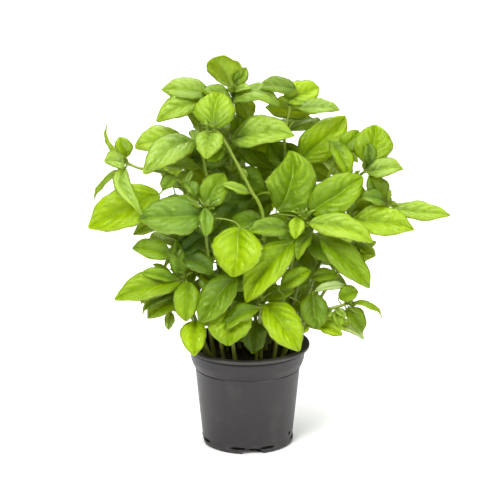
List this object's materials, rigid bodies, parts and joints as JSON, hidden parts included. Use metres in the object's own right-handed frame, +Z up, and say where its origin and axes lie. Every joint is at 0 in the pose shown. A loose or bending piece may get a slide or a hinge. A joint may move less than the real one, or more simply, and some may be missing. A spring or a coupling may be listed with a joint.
{
  "type": "potted basil",
  "caption": "Bushy basil growing from soil in a round tapered plastic pot with a flared lip and drain arches round its foot.",
  "frame": {"origin": "middle of the whole plant's footprint box, on the surface that the pot stands on", "axes": "+Z up along the pot's axis; +X to the right and -Y towards the viewer of the fuller side of the plant"},
  "size_m": [0.3532, 0.2508, 0.3998],
  "materials": {
    "pot_plastic": "satin",
    "potting_soil": "matte",
    "basil_leaf": "satin"
  },
  "bodies": {
    "root": {"pot": "pot_plastic", "soil": "potting_soil", "plant_top": "basil_leaf", "plant_arching": "basil_leaf", "plant_upper_left": "basil_leaf", "plant_left": "basil_leaf", "plant_middle_left": "basil_leaf", "plant_lower_left": "basil_leaf", "plant_rim_left": "basil_leaf", "plant_front": "basil_leaf", "plant_rim_front": "basil_leaf", "plant_centre": "basil_leaf", "plant_upper_right": "basil_leaf", "plant_right": "basil_leaf", "plant_far_right": "basil_leaf", "plant_rim_right": "basil_leaf", "plant_low_back_right": "basil_leaf", "plant_back_left": "basil_leaf", "plant_back": "basil_leaf", "plant_back_right": "basil_leaf", "plant_back_high": "basil_leaf", "plant_back_low_left": "basil_leaf", "plant_back_low_right": "basil_leaf"}
  },
  "joints": []
}
